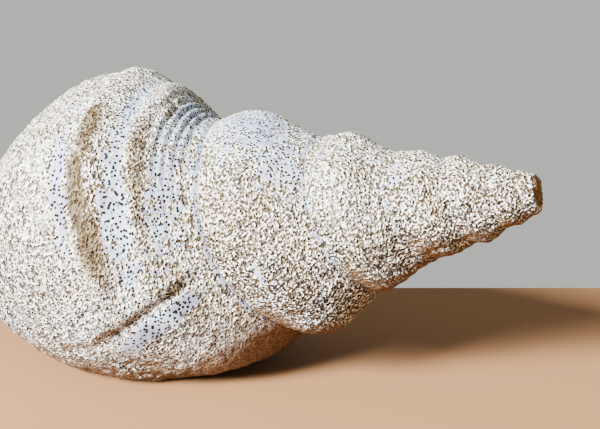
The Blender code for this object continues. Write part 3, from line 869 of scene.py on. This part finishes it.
# gaps are wider, as painted shade, where a place faces down
shaded_inputs = {0: masks["grime"], 1: -WIDER_IN_SHADE, 2: worn_grain}
worn_grain = add_node("Math", 0, shaded_inputs, operation="MULTIPLY_ADD")
gaps = add_node("MapRange", 0, {0: worn_grain, 1: GAP_FROM, 2: GAP_TO}, interpolation_type=SOFT_CUT)
gaps = add_node("Math", 0, {0: gaps, 1: crust_here}, operation="MULTIPLY")
gaps = add_node("Math", 0, {0: gaps, 1: masks["pitted"]}, operation="MULTIPLY")
print("nodules of", NODULE, "mm, in", ROWS_PER_WHORL, "rows to a whorl")

# %% [markdown]
# ## Colour, one layer over another
# Each layer covers the ones before it by its share: the smooth shell over the crust, then the pink tint, the
# stain, the gaps, the holes, the painted shadow in the single holes, a second thin wash of stain, the painted
# shade of the underside, the dark cuts, the break and the smooth hollow. Gaps and pits turn from tan to a
# deep brown by a noise for their dirt, and more so the more they face down, which is painted shade.

# %% Colours
CREAM, WHITE, LILAC, BLUISH = "#f6edd8", "#fffdf5", "#86879a", "#9caab5"
# The darker gap brown and both pit browns are partly painted shade: darker than the dirt in them, for the
# shade inside gaps and holes.
GAP_TAN, GAP_BROWN_AND_SHADE, PIT_BROWN_AND_SHADE, DEEP_BROWN_AND_SHADE = "#857a58", "#43361f", "#42301a", "#21170c"
# The underside brown is painted shade, warmed as if by light thrown up from the table.
STAIN_GOLD, TINT_PINK, BREAK_TAN, UNDERSIDE_SHADE_BROWN = "#402608", "#8a4a30", "#8c6c44", "#664a2f"
# The bore dark is painted shadow inside the single holes of the smooth shell.
# The seam olive is the seams' own dark colour, with painted shade in the creases of seams and scar.
SEAM_OLIVE_AND_SHADE, HOLLOW_APRICOT, HOLLOW_CREAM, BORE_SHADOW = "#2c2517", "#e2c19c", "#eadfce", "#120c06"

DRIFT_SIZE, DRIFT_DETAIL = 14.0, 3.0    # millimetres over which the chalk turns from white to cream
DRIFT_FROM, DRIFT_TO = 0.38, 0.62
DIRT_SIZE, DIRT_DETAIL = 3.0, 1.0
DEEPER_IN_SHADE = 0.40
DEEP_FROM, DEEP_TO = 0.52, 0.86

drift = add_node("TexNoise", 0, {0: place, 2: 1.0 / (DRIFT_SIZE * MM), 3: DRIFT_DETAIL})
drift = add_node("MapRange", 0, {0: drift, 1: DRIFT_FROM, 2: DRIFT_TO}, interpolation_type=SOFT_CUT)
pit_dirt_and_shade = add_node("TexNoise", 0, {0: place, 2: 1.0 / (DIRT_SIZE * MM), 3: DIRT_DETAIL})
# pits and gaps turn deeper brown by a noise for their dirt, and more where they face down, as painted shade
shaded_inputs = {0: masks["grime"], 1: DEEPER_IN_SHADE, 2: pit_dirt_and_shade}
pit_dirt_and_shade = add_node("Math", 0, shaded_inputs, operation="MULTIPLY_ADD")
pit_dirt_and_shade = add_node("MapRange", 0, {0: pit_dirt_and_shade, 1: DEEP_FROM, 2: DEEP_TO}, interpolation_type=SOFT_CUT)
pairs = {
    "smooth": (drift, BLUISH, LILAC),
    "gaps": (pit_dirt_and_shade, GAP_TAN, GAP_BROWN_AND_SHADE),
    "holes": (pit_dirt_and_shade, PIT_BROWN_AND_SHADE, DEEP_BROWN_AND_SHADE),
    "broken": (gaps, BREAK_TAN, PIT_BROWN_AND_SHADE),
    "inside": (drift, HOLLOW_APRICOT, HOLLOW_CREAM),
}
two_tone = {
    name: add_node("Mix", 2, {0: share, 6: first, 7: second}, data_type="RGBA")
    for name, (share, first, second) in pairs.items()
}
colour_layers = (               # where, how far it covers, colour
    (smooth_here, 1.0, two_tone["smooth"]),
    (masks["pink"], 1.0, TINT_PINK),
    (stained, 0.55, STAIN_GOLD),
    (gaps, 0.95, two_tone["gaps"]),
    # holes, whose browns are also painted shade inside them
    (holes, 0.96, two_tone["holes"]),
    # painted shadow inside the single holes of the smooth shell
    (clean_holes, 1.0, BORE_SHADOW),
    (stained, 0.50, STAIN_GOLD),
    # painted shade of the underside
    (masks["dirt"], 0.95, UNDERSIDE_SHADE_BROWN),
    # dark cuts: painted shade in the creases of seams and scar, over the seams' own olive
    (masks["seam"], 0.60, SEAM_OLIVE_AND_SHADE),
    (masks["broken"], 1.0, two_tone["broken"]),
    (masks["inside"], 1.0, two_tone["inside"]),
)
colour = add_node("Mix", 2, {0: drift, 6: WHITE, 7: CREAM}, data_type="RGBA")
for share, cover, layer in colour_layers:
    share = add_node("Math", 0, {0: share, 1: cover}, operation="MULTIPLY")
    colour = add_node("Mix", 2, {0: share, 6: colour, 7: layer}, data_type="RGBA")
tree.links.new(colour, surface.inputs["Base Color"])
print(len(colour_layers), "layers of colour")

# %% [markdown]
# ## Relief too fine for the mesh
# The same holes and nodules also tilt the light, through a bump of their real depth, which costs no faces.
# Where the underside's shade is painted, the nodules are made much flatter. Chalk hardly shines, so the
# outside is rough. The hollow lay sheltered, so it kept some gloss and is smoother. The IOR is that of
# aragonite.

# %% Bump and gloss
PIT_DEPTH = 1.6                 # millimetres
NODULE_SHARE = 2.6              # height of the nodules against the depth of the pits
FLATTER_IN_SHADE = 0.60           # share of that height which is taken away where the underside's shade is painted
ROUGH_CHALK, SMOOTH_HOLLOW = 0.88, 0.45
ARAGONITE_IOR = 1.53
CHALK_SHINE = 0.1               # a loose, broken surface gives back little of the shine of a smooth one

nodules = add_node("Math", 0, {0: grain, 1: NODULE_SHARE, 2: -0.5 * NODULE_SHARE}, operation="MULTIPLY_ADD")
nodules = add_node("Math", 0, {0: nodules, 1: crust_here}, operation="MULTIPLY")
nodules = add_node("Math", 0, {0: nodules, 1: outside_only}, operation="MULTIPLY")
# the nodules are flatter where the underside's shade is painted
unflattened = add_node("MapRange", 0, {0: masks["dirt"], 3: 1.0, 4: 1.0 - FLATTER_IN_SHADE})
nodules = add_node("Math", 0, {0: nodules, 1: unflattened}, operation="MULTIPLY")
height = add_node("Math", 0, {0: nodules, 1: holes}, operation="SUBTRACT")
normal = add_node("Bump", 0, {0: 1.0, 1: PIT_DEPTH * MM, "Height": height})
rough = add_node("MapRange", 0, {0: masks["inside"], 3: ROUGH_CHALK, 4: SMOOTH_HOLLOW})
tree.links.new(normal, surface.inputs["Normal"])
tree.links.new(rough, surface.inputs["Roughness"])
surface.inputs["IOR"].default_value = ARAGONITE_IOR
surface.inputs["Specular IOR Level"].default_value = CHALK_SHINE
data.materials.append(chalk)
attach(horse_conch_shell, "root")
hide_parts("shell")
print("the finish has", len(tree.nodes), "nodes")

# %% [markdown]
# ## A plain table top
# The stage is one flat sheet, whose far edge lies close behind the shell. It wears matt paint, rolled on,
# which has no shine. Its warm colour matters, because it throws brown light on the underside of the shell.

# %% A plain table top
TABLE_EDGE = 0.104              # metres from the origin to the far edge, along the line of sight
TABLE_SIZE = 3.0
TABLE_TOP = -0.0002             # just below the worn flats, which rest on it
SIGHT_TURN = math.radians(24.85)
PAINT_TAN = "#80582f"
PAINT_ROUGHNESS = 0.9

table_mesh = bmesh.new()
middle_of_table = Vector((0.0, TABLE_EDGE - 0.5 * TABLE_SIZE, TABLE_TOP))
turned_to_sight = Matrix.Rotation(SIGHT_TURN, 4, "Z") @ Matrix.Translation(middle_of_table)
bmesh.ops.create_grid(table_mesh, x_segments=1, y_segments=1, size=0.5 * TABLE_SIZE, matrix=turned_to_sight)
table_data = bpy.data.meshes.new("table_top")
table_mesh.to_mesh(table_data)
table_mesh.free()
table_top = bpy.data.objects.new("table_top", table_data)
bpy.context.scene.collection.objects.link(table_top)
matt_paint = bpy.data.materials.new("matt paint")
matt_paint.use_nodes = True
paint_surface = matt_paint.node_tree.nodes["Principled BSDF"]
paint_surface.inputs["Base Color"].default_value = linear(PAINT_TAN)
paint_surface.inputs["Roughness"].default_value = PAINT_ROUGHNESS
table_data.materials.append(matt_paint)
print("table top", TABLE_SIZE, "m wide")

# %% [markdown]
# ## Light
# Soft daylight comes from the front left, and a pale surround fills the shadows. A sun lamp would be too hard
# for the soft shading on the whorls, so the daylight is one large area lamp.

# %% Soft light
SURROUND_GREY, SURROUND_STRENGTH = "#e9e9e6", 0.72
WINDOW_POWER, WINDOW_SIZE = 900.0, 0.9          # watts and metres
WINDOW_PLACE, WINDOW_TARGET = (-0.92, -2.13, 1.15), (0.0, 0.0, 0.06)
DAYLIGHT = "#f6f9ff"

world = bpy.data.worlds.new("studio")
world.use_nodes = True
background = world.node_tree.nodes["Background"]
background.inputs["Color"].default_value = linear(SURROUND_GREY)
background.inputs["Strength"].default_value = SURROUND_STRENGTH
bpy.context.scene.world = world


def turned_towards(direction):
    """The rotation that points a lamp or a camera along a direction, upright."""
    return direction.to_track_quat("-Z", "Y").to_euler()


lamp = bpy.data.lights.new("window", "AREA")
lamp.energy = WINDOW_POWER
lamp.size = WINDOW_SIZE
lamp.color = linear(DAYLIGHT)[:3]
window = bpy.data.objects.new("window", lamp)
window.location = WINDOW_PLACE
window.rotation_euler = turned_towards(Vector(WINDOW_TARGET) - Vector(WINDOW_PLACE))
bpy.context.scene.collection.objects.link(window)
print("window light", round((Vector(WINDOW_TARGET) - Vector(WINDOW_PLACE)).length, 2), "m away")

# %% [markdown]
# ## Camera
# The camera stands half a metre away, a little above the shell, and looks across it from the spire's side, so
# that the spire comes forward. Its place was found by fitting seams and outline to the photograph.

# %% Camera
CAMERA_PLACE = Vector((0.23563, -0.38575, 0.14963))
CAMERA_LOOKS = Vector((-0.41230, 0.89025, -0.19355))
LENS, SENSOR = 63.0, 36.0       # millimetres
camera_data = bpy.data.cameras.new("camera")
camera_data.lens = LENS
camera_data.sensor_width = SENSOR
camera = bpy.data.objects.new("camera", camera_data)
camera.location = CAMERA_PLACE
camera.rotation_euler = turned_towards(CAMERA_LOOKS)
bpy.context.scene.collection.objects.link(camera)
bpy.context.scene.camera = camera
print(f"camera {CAMERA_PLACE.length:.2f} m from the origin, {LENS:.0f} mm lens")
